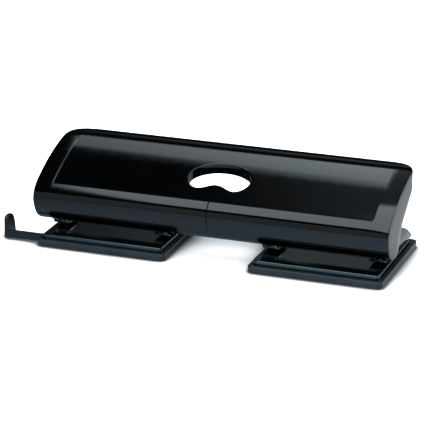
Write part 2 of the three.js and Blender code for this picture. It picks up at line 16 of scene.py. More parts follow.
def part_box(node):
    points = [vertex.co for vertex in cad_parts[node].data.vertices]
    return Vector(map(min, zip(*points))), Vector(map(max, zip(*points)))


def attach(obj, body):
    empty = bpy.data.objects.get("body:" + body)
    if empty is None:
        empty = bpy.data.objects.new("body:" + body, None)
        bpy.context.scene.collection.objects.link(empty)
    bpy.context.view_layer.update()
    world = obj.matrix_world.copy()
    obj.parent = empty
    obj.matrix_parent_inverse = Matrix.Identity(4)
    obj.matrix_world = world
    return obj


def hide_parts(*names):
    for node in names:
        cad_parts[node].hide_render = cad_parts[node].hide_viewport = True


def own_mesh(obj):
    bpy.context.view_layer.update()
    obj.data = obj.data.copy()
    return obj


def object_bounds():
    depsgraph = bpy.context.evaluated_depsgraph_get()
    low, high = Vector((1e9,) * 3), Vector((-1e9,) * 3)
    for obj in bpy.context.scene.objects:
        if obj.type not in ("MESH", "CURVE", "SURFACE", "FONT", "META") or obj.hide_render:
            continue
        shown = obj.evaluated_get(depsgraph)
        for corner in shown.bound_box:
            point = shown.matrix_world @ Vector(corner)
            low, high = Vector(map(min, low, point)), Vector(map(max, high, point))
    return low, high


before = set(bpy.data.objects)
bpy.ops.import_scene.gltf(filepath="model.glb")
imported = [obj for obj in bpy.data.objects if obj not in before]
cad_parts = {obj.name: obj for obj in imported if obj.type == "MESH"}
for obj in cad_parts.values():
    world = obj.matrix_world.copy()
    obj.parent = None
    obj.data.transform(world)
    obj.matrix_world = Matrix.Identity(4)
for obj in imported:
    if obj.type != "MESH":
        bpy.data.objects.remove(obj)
cad_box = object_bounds()

MM = 0.001
_left, _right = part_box("chip_tray_left"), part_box("chip_tray_right")
ORIGIN = Vector(((_left[0].x + _right[1].x) / 2, _left[0].y, _left[0].z))
SIDES = ("left", "right")
UNIT_X = (-80.0, 80.0)
PIN_X, PIN_Y = 40.0, 30.0
PIVOT = (13.0, 29.0)
AXLE_R = 2.5
SHEET, GAP = 1.2, 0.3
SLOPE, LEVER_ORIGIN = math.radians(21.5), (28.2, 41.5)


# ------------------------------------------------------------------ materials

PLASTIC_IOR, ENAMEL_IOR = 1.46, 1.85
DULLED = 0.72  # brightness of metal where it has gone dull
METAL_BUMP, PLASTIC_BUMP, GRAIN_BUMP, PEEL_BUMP = 0.000006, 0.000004, 0.00002, 0.000012  # metres


def new_material(name):
    material = bpy.data.materials.new(name)
    material.use_nodes = True
    tree = material.node_tree
    tree.nodes.clear()
    out = tree.nodes.new("ShaderNodeOutputMaterial")
    shader = tree.nodes.new("ShaderNodeBsdfPrincipled")
    tree.links.new(shader.outputs["BSDF"], out.inputs["Surface"])
    return material, tree, shader


def noise(tree, scale, detail, stretch=(1, 1, 1), rough=0.5):
    """Noise in object space, `scale` features per metre, stretched along an axis."""
    coords = tree.nodes.new("ShaderNodeTexCoord")
    mapping = tree.nodes.new("ShaderNodeMapping")
    mapping.inputs["Scale"].default_value = stretch
    texture = tree.nodes.new("ShaderNodeTexNoise")
    texture.inputs["Scale"].default_value = scale
    texture.inputs["Detail"].default_value = detail
    texture.inputs["Roughness"].default_value = rough
    tree.links.new(coords.outputs["Object"], mapping.inputs["Vector"])
    tree.links.new(mapping.outputs["Vector"], texture.inputs["Vector"])
    return texture.outputs["Fac"]


def to_range(tree, value, low, high, start=0.3, end=0.7):
    node = tree.nodes.new("ShaderNodeMapRange")
    node.inputs["From Min"].default_value = start
    node.inputs["From Max"].default_value = end
    node.inputs["To Min"].default_value = low
    node.inputs["To Max"].default_value = high
    tree.links.new(value, node.inputs["Value"])
    return node.outputs["Result"]


def mix_colour(tree, fac, a, b):
    node = tree.nodes.new("ShaderNodeMix")
    node.data_type = "RGBA"
    tree.links.new(fac, node.inputs["Factor"])
    for socket, value in ((node.inputs["A"], a), (node.inputs["B"], b)):
        if isinstance(value, tuple):
            socket.default_value = (*value, 1)
        else:
            tree.links.new(value, socket)
    return node.outputs["Result"]


def add_bump(tree, shader, height, distance):
    node = tree.nodes.new("ShaderNodeBump")
    node.inputs["Distance"].default_value = distance
    node.inputs["Strength"].default_value = 1.0
    tree.links.new(height, node.inputs["Height"])
    tree.links.new(node.outputs["Normal"], shader.inputs["Normal"])


def gloss_plastic():
    material, tree, shader = new_material("gloss_black_plastic")
    cloud = noise(tree, 38, 4)
    speck = noise(tree, 2400, 2)
    dark, light = (0.00012, 0.00016, 0.0002), (0.0003, 0.0004, 0.0005)
    colour = mix_colour(tree, to_range(tree, cloud, 0, 1), dark, light)
    tree.links.new(colour, shader.inputs["Base Color"])
    haze = to_range(tree, noise(tree, 120, 5), 0.04, 0.075)
    tree.links.new(haze, shader.inputs["Roughness"])
    shader.inputs["IOR"].default_value = PLASTIC_IOR
    add_bump(tree, shader, speck, PLASTIC_BUMP)
    return material


def satin_plastic(name, dark, light, roughness):
    material, tree, shader = new_material(name)
    colour = mix_colour(tree, to_range(tree, noise(tree, 60, 4), 0, 1), dark, light)
    tree.links.new(colour, shader.inputs["Base Color"])
    tree.links.new(to_range(tree, noise(tree, 300, 4), *roughness), shader.inputs["Roughness"])
    shader.inputs["IOR"].default_value = PLASTIC_IOR
    add_bump(tree, shader, noise(tree, 1500, 3), GRAIN_BUMP)
    return material


def black_enamel(name, tint):
    material, tree, shader = new_material(name)
    shader.inputs["Specular Tint"].default_value = (*tint, 1)
    dark, light = (0.0002, 0.0003, 0.0004), (0.0005, 0.0006, 0.0008)
    colour = mix_colour(tree, to_range(tree, noise(tree, 50, 4), 0, 1), dark, light)
    tree.links.new(colour, shader.inputs["Base Color"])
    tree.links.new(to_range(tree, noise(tree, 160, 4), 0.06, 0.10), shader.inputs["Roughness"])
    shader.inputs["IOR"].default_value = ENAMEL_IOR
    add_bump(tree, shader, noise(tree, 420, 2), PEEL_BUMP)
    return material


def metal(name, dark, light, roughness, stretch, scale=260):
    material, tree, shader = new_material(name)
    streaks = noise(tree, scale, 5, stretch, 0.62)
    cloud = noise(tree, 45, 3)
    streak_colour = mix_colour(tree, to_range(tree, streaks, 0, 1), dark, light)
    dull = tuple(DULLED * c for c in light)
    colour = mix_colour(tree, to_range(tree, cloud, 0, 0.5), streak_colour, dull)
    tree.links.new(colour, shader.inputs["Base Color"])
    shader.inputs["Metallic"].default_value = 1.0
    worn = to_range(tree, streaks, roughness - 0.07, roughness + 0.09)
    tree.links.new(worn, shader.inputs["Roughness"])
    add_bump(tree, shader, streaks, METAL_BUMP)
    return material


GLOSS = gloss_plastic()
SATIN = satin_plastic(
    "satin_black_plastic", (0.0044, 0.0062, 0.0078), (0.0072, 0.0098, 0.0120), (0.16, 0.26)
)
GUIDE_PLASTIC = satin_plastic(
    "guide_black_plastic", (0.0008, 0.0012, 0.0015), (0.0014, 0.002, 0.0024), (0.1, 0.16)
)
ENAMEL = black_enamel("black_enamel", (1, 1, 1))
PLATE_ENAMEL = black_enamel("plate_black_enamel", (0.72, 0.93, 1))
ZINC = metal("zinc_plate", (0.46, 0.48, 0.50), (0.66, 0.68, 0.69), 0.34, (0.25, 1, 1))
STEEL = metal("turned_steel", (0.40, 0.41, 0.42), (0.62, 0.63, 0.64), 0.26, (1, 1, 0.15), 500)
SPRING = metal("spring_wire", (0.34, 0.35, 0.36), (0.58, 0.59, 0.60), 0.24, (1, 1, 1), 900)
TOOL = metal("ground_tool_steel", (0.42, 0.43, 0.44), (0.68, 0.69, 0.70), 0.2, (1, 1, 0.1), 700)


# ------------------------------------------------------------------ mesh helpers

CORNER_STEPS = 10  # per quarter turn of a rounded corner
HOLE_SIDES = 40
DOME_STEPS = 5


def to_frame(points):
    return [ORIGIN + Vector(p) * MM for p in points]


def mesh_object(name, points, faces, material, weighted=True):
    """Closed mesh from millimetre points, smooth where the surface is smooth."""
    mesh = bpy.data.meshes.new(name)
    mesh.from_pydata(to_frame(points), [], faces)
    bm = bmesh.new()
    bm.from_mesh(mesh)
    bmesh.ops.remove_doubles(bm, verts=bm.verts, dist=2e-7)
    bmesh.ops.dissolve_degenerate(bm, edges=bm.edges, dist=1e-8)
    bmesh.ops.recalc_face_normals(bm, faces=bm.faces)
    bm.to_mesh(mesh)
    bm.free()
    return as_piece(name, mesh, material, weighted)


def as_piece(name, mesh, material, weighted, angle=38):
    mesh.materials.clear()
    mesh.materials.append(material)
    mesh.shade_smooth()
    mesh.set_sharp_from_angle(angle=math.radians(angle))
    piece = bpy.data.objects.new(name, mesh)
    bpy.context.scene.collection.objects.link(piece)
    if weighted:
        modifier = piece.modifiers.new("face_normals", "WEIGHTED_NORMAL")
        modifier.keep_sharp = True
        modifier.weight = 100
    return piece


def settle(piece, body, slot, *nodes):
    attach(piece, body)
    if nodes:
        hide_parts(*nodes)
    return piece


def cubic(points, ends=(None, None)):
    """Smooth curve through points as a function of chord length, with end slopes if given."""
    p = np.array(points, float)
    t = np.concatenate([[0], np.cumsum(np.linalg.norm(np.diff(p, axis=0), axis=1))])
    h = np.diff(t)
    n = len(t)
    a = np.zeros((n, n))
    b = np.zeros((n, p.shape[1]))
    for i in range(1, n - 1):
        a[i, i - 1 : i + 2] = 1 / h[i - 1], 2 / h[i - 1] + 2 / h[i], 1 / h[i]
        b[i] = 3 * ((p[i] - p[i - 1]) / h[i - 1] ** 2 + (p[i + 1] - p[i]) / h[i] ** 2)
    for i, j, k, end in ((0, 1, 0, ends[0]), (n - 1, n - 2, n - 2, ends[1])):
        if end is None:
            a[i, i], a[i, j] = 2, 1
            b[i] = 3 * (p[k + 1] - p[k]) / h[k]
        else:
            a[i, i] = 1
            b[i] = end
    m = np.linalg.solve(a, b)

    def at(s):
        s = np.clip(np.asarray(s, float), 0, t[-1])
        i = np.clip(np.searchsorted(t, s, "right") - 1, 0, n - 2)
        u = ((s - t[i]) / h[i])[..., None]
        g = h[i][..., None]
        return (
            (1 + 2 * u) * (1 - u) ** 2 * p[i]
            + u * (1 - u) ** 2 * g * m[i]
            + u * u * (3 - 2 * u) * p[i + 1]
            + u * u * (u - 1) * g * m[i + 1]
        )

    return at, t[-1]


def rounded_rectangle(x0, x1, y0, y1, r, z):
    """Loop of points; every loop has the same count, so any two can be bridged."""
    loop = []
    corners = ((x1 - r, y0 + r, -90), (x1 - r, y1 - r, 0), (x0 + r, y1 - r, 90), (x0 + r, y0 + r, 180))
    for cx, cy, start in corners:
        for k in range(CORNER_STEPS + 1):
            a = math.radians(start + 90 * k / CORNER_STEPS)
            loop.append((cx + r * math.cos(a), cy + r * math.sin(a), z))
    return loop


def circle(x, y, z, r):
    angles = [2 * math.pi * k / HOLE_SIDES for k in range(HOLE_SIDES)]
    return [(x + r * math.cos(a), y + r * math.sin(a), z) for a in angles]


def fillet(r, count):
    """(inset, drop) pairs of a convex edge of radius r, from the wall to the top."""
    angles = [math.radians(90 * k / count) for k in range(count + 1)]
    return [(r * (1 - math.cos(a)), r * (1 - math.sin(a))) for a in angles]


class Solid:
    """Points and faces of one closed body, put together from loops."""

    def __init__(self):
        self.points, self.faces = [], []

    def add(self, loop):
        first = len(self.points)
        self.points.extend(loop)
        return list(range(first, first + len(loop)))

    def bridge(self, a, b, closed=True):
        n = len(a)
        for k in range(n if closed else n - 1):
            j = (k + 1) % n
            self.faces.append((a[k], a[j], b[j], b[k]))

    def skin(self, loops):
        """Bridges loops in order and returns the first and last one's indices."""
        rows = [self.add(loop) for loop in loops]
        for a, b in zip(rows, rows[1:]):
            self.bridge(a, b)
        return rows[0], rows[-1]

    def cap(self, outer, holes=()):
        """Flat face with holes inside the loop `outer`."""
        rings = [outer, *holes]
        index = [i for ring in rings for i in ring]
        flat = [Vector(self.points[i][:2]) for i in index]
        edges, start = [], 0
        for ring in rings:
            n = len(ring)
            edges += [(start + k, start + (k + 1) % n) for k in range(n)]
            start += n
        verts, _, faces, origin, *_ = delaunay_2d_cdt(flat, edges, [], 1, 1e-7)
        for face in faces:
            centre = sum((verts[i] for i in face), Vector((0, 0))) / len(face)
            if any(inside(centre, [self.points[i] for i in ring]) for ring in holes):
                continue
            self.faces.append(tuple(index[origin[i][0]] for i in face))


def inside(point, ring):
    hit = False
    for a, b in zip(ring, ring[1:] + ring[:1]):
        if (a[1] > point.y) != (b[1] > point.y):
            if point.x < a[0] + (point.y - a[1]) / (b[1] - a[1]) * (b[0] - a[0]):
                hit = not hit
    return hit


def lathe(name, profile, place, material, count=48):
    """Turned piece from (radius, distance) pairs that start and end on the axis."""
    solid = Solid()
    ends = [solid.add([place(0, 0, profile[i][1])])[0] for i in (0, -1)]
    rows = []
    for r, d in profile[1:-1]:
        angles = [2 * math.pi * k / count for k in range(count)]
        rows.append(solid.add([place(r * math.cos(a), r * math.sin(a), d) for a in angles]))
    for a, b in zip(rows, rows[1:]):
        solid.bridge(a, b)
    for end, row in ((ends[0], rows[0]), (ends[1], rows[-1])):
        for k in range(count):
            solid.faces.append((end, row[k], row[(k + 1) % count]))
    return mesh_object(name, solid.points, solid.faces, material)


def along_x(y, z, start, side=1):
    return lambda u, v, d: (start + side * d, y + u, z + v)


def along_z(x, y, start=0.0):
    return lambda u, v, d: (x + u, y + v, start + d)


def on_slope(x, up_slope):
    """Square to the lever plate, from its underside, `up_slope` from the lever's own origin."""
    y0, z0 = LEVER_ORIGIN
    c, s = math.cos(SLOPE), math.sin(SLOPE)

    def place(u, v, d):
        along = up_slope + v
        return (x + u, y0 + along * c - d * s, z0 + along * s + d * c)

    return place


def domed(radius, height, base, outward):
    """Profile of a rivet head, from its axis to its rim when outward is -1, and back when it is 1."""
    turns = [math.pi / 2 * k / DOME_STEPS for k in range(DOME_STEPS + 1)]
    if outward > 0:
        turns.reverse()
    return [(radius * math.sin(a), base + outward * height * math.cos(a)) for a in turns]


def rivet(shank_r, head_r, shank, head_height):
    profile = domed(head_r, head_height, 0, -1) + [(shank_r, 0.01), (shank_r, shank - 0.01)]
    return profile + domed(head_r, head_height, shank, 1)


def cut(piece, lows, highs):
    """Cuts an upright box, in millimetres, out of a piece."""
    (x0, y0, z0), (x1, y1, z1) = lows, highs
    corners = [(x, y, z) for x in (x0, x1) for y in (y0, y1) for z in (z0, z1)]
    mesh = bpy.data.meshes.new("cutter")
    faces = [(0, 1, 3, 2), (4, 6, 7, 5), (0, 4, 5, 1), (2, 3, 7, 6), (0, 2, 6, 4), (1, 5, 7, 3)]
    mesh.from_pydata(to_frame(corners), [], faces)
    cutter = bpy.data.objects.new("cutter", mesh)
    bpy.context.scene.collection.objects.link(cutter)
    modifier = piece.modifiers.new("notch", "BOOLEAN")
    modifier.object = cutter
    modifier.operation = "DIFFERENCE"
    modifier.solver = "EXACT"
    while piece.modifiers[0] != modifier:
        piece.modifiers.move(len(piece.modifiers) - 1, 0)
    bake_modifier(piece, "notch")
    bpy.data.objects.remove(cutter)
    bpy.data.meshes.remove(mesh)


def bake_modifier(piece, name):
    """Applies the first modifier and keeps the others live."""
    others = [m for m in piece.modifiers if m.name != name]
    for m in others:
        m.show_viewport = False
    bpy.context.view_layer.update()
    dg = bpy.context.evaluated_depsgraph_get()
    mesh = bpy.data.meshes.new_from_object(piece.evaluated_get(dg))
    piece.modifiers.remove(piece.modifiers[name])
    piece.data = mesh
    for m in others:
        m.show_viewport = True


def formed(node, body, slot, material, radius, segments=2):
    """The CAD node's own shape with its sharp edges rounded."""
    bm = bmesh.new()
    bm.from_mesh(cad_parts[node].data)
    bmesh.ops.remove_doubles(bm, verts=bm.verts, dist=1e-6)
    bmesh.ops.dissolve_limit(
        bm, angle_limit=math.radians(0.6), use_dissolve_boundaries=False, verts=bm.verts, edges=bm.edges
    )
    mesh = bpy.data.meshes.new(node + "_formed")
    bm.to_mesh(mesh)
    bm.free()
    piece = as_piece(node + "_formed", mesh, material, weighted=False, angle=180)
    bevel = piece.modifiers.new("edges", "BEVEL")
    bevel.width = radius * MM
    bevel.segments = segments
    bevel.limit_method = "ANGLE"
    bevel.angle_limit = math.radians(32)
    bevel.harden_normals = True
    return settle(piece, body, slot, node)


# ------------------------------------------------------------------ handle cover

COVER_HALF, COVER_REAR, COVER_WALL = 132.0, 83.3, 2.4
REAR_CORNER = 22.5
EDGE_R = 0.9
PANEL = (119.3, 8.6, 61.8)  # half width, front and rear of the flatter top panel
PANEL_CORNER, PANEL_STEP = 2.0, 0.45
CROWN_FROM, CROWN_DROP = 119.3, 0.45
HOLE_HALF, HOLE_Y, HOLE_RISE = 23.0, 32, 14.5  # finger opening: an arc behind, a nose in front
HOLE_CENTRE_Y = 33  # bearings to its outline are taken from here
HOLE_LIP, RIM_DEPTH = 0.6, 7.0
COS_SLOPE = 0.93  # of the top, at the hole
GROOVE_HALF, GROOVE_TOP_Y, GROOVE_LOW_Z = 0.6, 9.0, 24

# (y, z) of the cover's outside, from the front lip over the crease and the top to the rear.
COVER_CURVE, COVER_LENGTH = cubic(
    [
        (15.3, 17.1),
        (9.3, 20.8),
        (4.4, 28),
        (2.4, 35),
        (3.7, 40.3),
        (8.6, 46),
        (13.2, 49),
        (22.2, 53.7),
        (32.3, 58.2),
        (44, 62.3),
        (56, 65.5),
        (66, 67.1),
        (74, 67.4),
        (83.3, 66),
    ]
)
# (y, z) of the end walls' lower edge, from the front lip to the rear.
LOWER_EDGE = [
    (16.6, 16.9),
    (23.6, 15.8),
    (30.3, 18.2),
    (31.7, 19.8),
    (39, 35),
    (53.9, 45.5),
    (61.7, 51),
    (66, 53.3),
    (72, 55.2),
    (83.3, 56.5),
]


def curve_frame(s):
    """(y, z) on the outside curve and its outward normal."""
    p = COVER_CURVE(s)
    t = COVER_CURVE(s + 0.02) - COVER_CURVE(s - 0.02)
    t /= np.linalg.norm(t, axis=-1, keepdims=True)
    return p, np.stack([-t[..., 1], t[..., 0]], -1)


_fine = np.linspace(0, COVER_LENGTH, 4000)
_fine_points, _fine_normals = curve_frame(_fine)
_front = int(np.argmin(_fine_points[:, 0]))


def s_at_y(y):
    """Curve length at a depth y on the upper side."""
    return np.interp(y, _fine_points[_front:, 0], _fine[_front:])


def s_at_inset(y):
    """Curve length where the centre of the edge rounding is at depth y."""
    centre = _fine_points[:, 0] - EDGE_R * _fine_normals[:, 0]
    return np.interp(y, centre[_front:], _fine[_front:])


def smooth(v):
    v = np.clip(v, 0, 1)
    return v * v * v * (v * (6 * v - 15) + 10)


def body_z(y):
    return np.interp(y, _fine_points[_front:, 0], _fine_points[_front:, 1])


# (y, z) of the panel from its front edge to its rear edge, where it meets the cover's curve.
PANEL_CURVE, PANEL_LENGTH = cubic(
    [
        (8.6, 45.75),
        (13.2, 48.2),
        (18, 50.5),
        (22.2, 52.45),
        (32.3, 56.85),
        (44, 61.15),
        (54, 64.45),
        (61.8, body_z(61.8)),
    ]
)
_panel_points = PANEL_CURVE(np.linspace(0, PANEL_LENGTH, 600))


def panel_drop(x, y):
    """How far the panel lies under the cover's curve: 0 on the rims."""
    half, front, rear = PANEL
    qx = np.abs(x) - half + PANEL_CORNER
    qy = np.abs(y - (front + rear) / 2) - (rear - front) / 2 + PANEL_CORNER
    outside = np.hypot(np.maximum(qx, 0), np.maximum(qy, 0))
    distance = outside + np.minimum(np.maximum(qx, qy), 0) - PANEL_CORNER
    drop = np.maximum(body_z(y) - np.interp(y, _panel_points[:, 0], _panel_points[:, 1]), 0)
    return drop * smooth(-distance / PANEL_STEP)


def cover_surface(x, s, depth):
    """Point of the outside sheet, or of the sheet `depth` under it."""
    p, n = curve_frame(s)
    x = np.asarray(x, float)
    if depth:
        q = p - n * depth
        return np.stack([x + 0 * q[..., 0], q[..., 0], q[..., 1]], -1)
    upper = smooth((p[..., 1] - 38) / 8)
    end = np.clip((np.abs(x) - CROWN_FROM) / (COVER_HALF - CROWN_FROM), 0, 1)
    crown = CROWN_DROP * (0.45 * end + 0.55 * end**2) * upper
    groove = 0.5 + 0.7 * smooth((p[..., 1] - 35) / 3)
    groove *= smooth((p[..., 1] - GROOVE_LOW_Z) / 2) * smooth((GROOVE_TOP_Y - p[..., 0]) / 0.5)
    groove = groove * smooth((GROOVE_HALF - np.abs(x)) / 0.42)
    q = p - n * np.expand_dims(crown + groove, -1)
    drop = np.where(s > _fine[_front], panel_drop(x, p[..., 0]), 0)
    return np.stack([x + 0 * q[..., 0], q[..., 0], q[..., 1] - drop], -1)


def spaced(*stops):
    """Values from the first stop on, in steps given between the stops."""
    values = [stops[0]]
    for start, step, end in zip(stops[0::2], stops[1::2], stops[2::2]):
        count = max(1, round(abs(end - start) / step))
        values += [start + (end - start) * (k + 1) / count for k in range(count)]
    return values


def hand_hole(grow, angles):
    """Points of the finger opening's outline, `grow` larger all round, at angles about its centre."""
    half, rise = HOLE_HALF + grow, HOLE_RISE + grow
    arc = [(half * math.cos(a), HOLE_Y + rise * math.sin(a)) for a in np.linspace(0, math.pi, 160)]
    nose = [
        (-half, HOLE_Y),
        (-20.8 - grow, 24.7),
        (-13, 20.9 - grow),
        (-6, 23.5 - grow),
        (0, 25.2 - grow),
        (6, 23.5 - grow),
        (13, 20.9 - grow),
        (20.8 + grow, 24.7),
        (half, HOLE_Y),
    ]
    at, length = cubic(nose, ((0, -1), (0, 1)))
    front = at(np.linspace(0, length, 240))[1:-1]
    outline = np.array(arc + [tuple(p) for p in front])
    turn = 2 * math.pi
    bearing = np.mod(np.arctan2(outline[:, 1] - HOLE_CENTRE_Y, outline[:, 0]), turn)
    order = np.argsort(bearing)
    at = np.mod(angles, turn)
    return np.stack([np.interp(at, bearing[order], outline[order, k], period=turn) for k in (0, 1)], -1)


def make_cover():
    solid = Solid()
    side = COVER_HALF - EDGE_R
    x_lines = spaced(0, 0.12, 0.84, 2.2, 32, 2.4, 116.5, 0.3, 118.4, 0.12, 119.6, 1.1, side)
    x_lines = np.array([-x for x in x_lines[:0:-1]] + x_lines)
    marks = [float(s_at_y(y)) for y in (8.1, 9.6, 12.5, 57, 59.5, 62.1, 65)]
    rows = [0]
    for mark, step in zip(marks, (1.2, 0.14, 0.5, 1.6, 0.6, 0.25, 1.2)):
        rows += spaced(rows[-1], step, mark)[1:]
    corner_c = COVER_REAR - REAR_CORNER
    inner_r = REAR_CORNER - EDGE_R
    quarter = np.linspace(0, math.pi / 2, 18)
    rows += [float(s_at_inset(corner_c + inner_r * math.sin(a))) for a in quarter]
    rows = np.array(rows)
    points, normals = curve_frame(rows)
    centre_y = points[:, 0] - EDGE_R * normals[:, 0]
    beyond = np.clip(centre_y - corner_c, 0, inner_r)
    beyond[-1] = inner_r
    x_limit = COVER_HALF - REAR_CORNER + np.sqrt(inner_r**2 - beyond**2)
    ny, nx = len(rows), len(x_lines)

    def grid(depth):
        if depth:
            y = points[:, 0] - depth * normals[:, 0]
            r = REAR_CORNER - COVER_WALL
            # The rows nearest the rear keep a little apart, so that none of them shrinks to nothing.
            from_rear = ny - 1 - np.arange(ny)
            past = np.clip(y - corner_c, 0, r * 0.9999)
            past = np.minimum(past, r * (1 - 0.0015 * from_rear).clip(0.9))
            limit = COVER_HALF - REAR_CORNER + np.sqrt(r**2 - past**2)
        else:
            limit = x_limit
        x = x_lines[None, :] / side * limit[:, None]
        sheet = cover_surface(x, np.repeat(rows[:, None], nx, 1), depth)
        if depth:
            sheet[..., 1] = np.minimum(sheet[..., 1], corner_c + np.where(past > 0, past, 1e3)[:, None])
        first = len(solid.points)
        solid.points.extend(map(tuple, sheet.reshape(-1, 3)))
        return first + np.arange(ny * nx).reshape(ny, nx)

    outer, inner = grid(0.0), grid(COVER_WALL)
    y_rows = points[:, 0]
    upper = np.arange(ny) > np.searchsorted(rows, _fine[_front])
    i0 = int(np.argmax(upper & (y_rows > 13.6)))
    i1 = int(np.argmax(upper & (y_rows > 52.4)))
    j0 = int(np.argmin(np.abs(x_lines + 32)))
    j1 = int(np.argmin(np.abs(x_lines - 32)))
    for index in (outer, inner):
        for i in range(ny - 1):
            for j in range(nx - 1):
                if not (i0 <= i < i1 and j0 <= j < j1):
                    near, far = (index[i, j], index[i, j + 1]), (index[i + 1, j + 1], index[i + 1, j])
                    solid.faces.append((*near, *far))

    # Hand hole: loops from the block's border to the outline, over the lip and down the rim.
    def border(index):
        loop = [index[i0, j] for j in range(j0, j1)] + [index[i, j1] for i in range(i0, i1)]
        loop += [index[i1, j] for j in range(j1, j0, -1)] + [index[i, j0] for i in range(i1, i0, -1)]
        return loop

    outer_border, inner_border = border(outer), border(inner)
    start = np.array([solid.points[k] for k in outer_border])
    angles = np.arctan2(start[:, 1] - HOLE_CENTRE_Y, start[:, 0])

    def surface_loop(plan, depth):
        s = s_at_y(plan[:, 1])
        for _ in range(4):  # the sheet under the surface is reached along its normal
            _, n = curve_frame(s)
            s = s_at_y(plan[:, 1] + depth * n[:, 0])
        points = cover_surface(plan[:, 0], s, depth)
        points[:, :2] = plan
        return points

    def rings(border_loop, target, depth, count):
        begin = np.array([solid.points[k] for k in border_loop])[:, :2]
        loops = [border_loop]
        for k in range(1, count + 1):
            plan = begin + (target - begin) * (1 - (1 - k / count) ** 1.25)
            loops.append(solid.add(map_points(surface_loop(plan, depth))))
        for a, b in zip(loops, loops[1:]):
            solid.bridge(a, b)
        return loops[-1]

    def map_points(array):
        return [tuple(map(float, p)) for p in array]

    edge = rings(outer_border, hand_hole(HOLE_LIP, angles), 0.0, 9)
    top = np.array([solid.points[k] for k in edge])
    hole = hand_hole(0, angles)
    inward = hole - top[:, :2]
    inward /= np.linalg.norm(inward, axis=1, keepdims=True)
    down = top[:, 2] - HOLE_LIP
    loops = [edge]
    for k in range(1, 6):
        a = math.pi / 2 * k / 5
        over = top[:, :2] + inward * HOLE_LIP * math.sin(a)
        loops.append(solid.add(map_points(np.column_stack([over, down + HOLE_LIP * math.cos(a)]))))
    bottom_z = top[:, 2] - RIM_DEPTH / COS_SLOPE
    wall_xy = top[:, :2] + inward * HOLE_LIP
    for f in (0.4, 1.0):
        z = down + (bottom_z + 0.4 - down) * f
        loops.append(solid.add(map_points(np.column_stack([wall_xy, z]))))
    under = hand_hole(COVER_WALL, angles)
    for f, dz in ((0.12, 0.1), (0.25, 0.0), (0.75, 0.0), (0.88, 0.1), (1.0, 0.4)):
        xy = wall_xy + (under - wall_xy) * f
        loops.append(solid.add(map_points(np.column_stack([xy, bottom_z + dz]))))
    inner_edge = rings(inner_border, under, COVER_WALL, 4)
    loops.append(inner_edge)
    for a, b in zip(loops, loops[1:]):
        solid.bridge(a, b)

    # Sides and rear: edge rounding, wall, bottom edge and inner wall, one column per border point.
    chain = [(i, 0) for i in range(ny)] + [(ny - 1, j) for j in range(1, nx - 1)]
    chain += [(i, nx - 1) for i in range(ny - 1, -1, -1)]
    low = np.array(LOWER_EDGE)
    low_length = np.concatenate([[0], np.cumsum(np.linalg.norm(np.diff(low, axis=0), axis=1))])
    at_corner = float(np.interp(corner_c, low[4:, 0], low_length[4:]))
    s_corner = float(s_at_inset(corner_c))
    columns = []
    for i, j in chain:
        b = np.array(solid.points[outer[i, j]])
        n_s = np.array([0, normals[i, 0], normals[i, 1]])
        if i == ny - 1:
            n_p = np.array([0.0, 1.0, 0.0])
        else:
            out_x = x_limit[i] - (COVER_HALF - REAR_CORNER)
            n_p = np.array([out_x / inner_r, beyond[i] / inner_r, 0.0])
            n_p[0] *= 1 if j else -1
            n_p /= np.linalg.norm(n_p)
        c = b - EDGE_R * n_s
        column = [outer[i, j]]
        turn = math.acos(float(np.clip(n_s @ n_p, -1, 1)))
        for k in range(1, 7):
            f = k / 6
            n = (math.sin((1 - f) * turn) * n_s + math.sin(f * turn) * n_p) / math.sin(turn)
            column += solid.add([tuple(c + EDGE_R * n)])
        w = np.array(solid.points[column[-1]])
        if beyond[i] > 0:
            e = np.array([w[0], w[1], float(np.interp(w[1], low[4:, 0], low[4:, 1]))])
        else:
            d = at_corner * rows[i] / s_corner
            e = np.array([w[0], *(np.interp(d, low_length, low[:, k]) for k in (0, 1))])
        up = (w - e) / max(np.linalg.norm(w - e), 1e-6)
        up_step = min(0.5, np.linalg.norm(w - e) * 0.3)
        wall_in = -n_p * COVER_WALL
        spots = [w + (e + up * up_step - w) * f for f in (0.25, 0.5, 0.75, 1.0)]
        spots += [e + up * up_step * 0.3 - n_p * 0.15, e - n_p * 0.5, e - n_p * (COVER_WALL - 0.5)]
        spots += [e + up * up_step * 0.3 + wall_in * 0.94, e + up * up_step + wall_in]
        b_in = np.array(solid.points[inner[i, j]])
        high = w + wall_in
        high[2] = min(high[2], b_in[2] - 0.3) if n_s[2] > 0.3 else high[2]
        for f in (0.33, 0.66, 1.0):
            spots.append(e + up * up_step + wall_in + (high - (e + up * up_step + wall_in)) * f)
        column += solid.add([tuple(map(float, p)) for p in spots])
        column.append(inner[i, j])
        columns.append(column)
    for a, b in zip(columns, columns[1:]):
        solid.bridge(a, b, closed=False)
    solid.faces.append(tuple(columns[0]))
    solid.faces.append(tuple(columns[-1]))
    # The lip under the front, between the outer and the inner sheet.
    for j in range(nx - 1):
        solid.faces.append((outer[0, j], outer[0, j + 1], inner[0, j + 1], inner[0, j]))
    piece = mesh_object("cover_shell", solid.points, solid.faces, GLOSS, weighted=False)
    return settle(piece, "handle", "black_plastic", "handle_cover")


make_cover()

# ------------------------------------------------------------------ base plates and trays

PLATE = dict(half=45.7, front=4.0, rear=87.0, top=8.5, sheet=1.4, skirt=3.6, corner=3.0)
DIE_R = 2.87
RIVET = dict(x=30.0, y=62.0, r=1.5)
GUIDE_SLOT = (6.7, 9.5)  # front and rear of the guide bar's way through the left unit


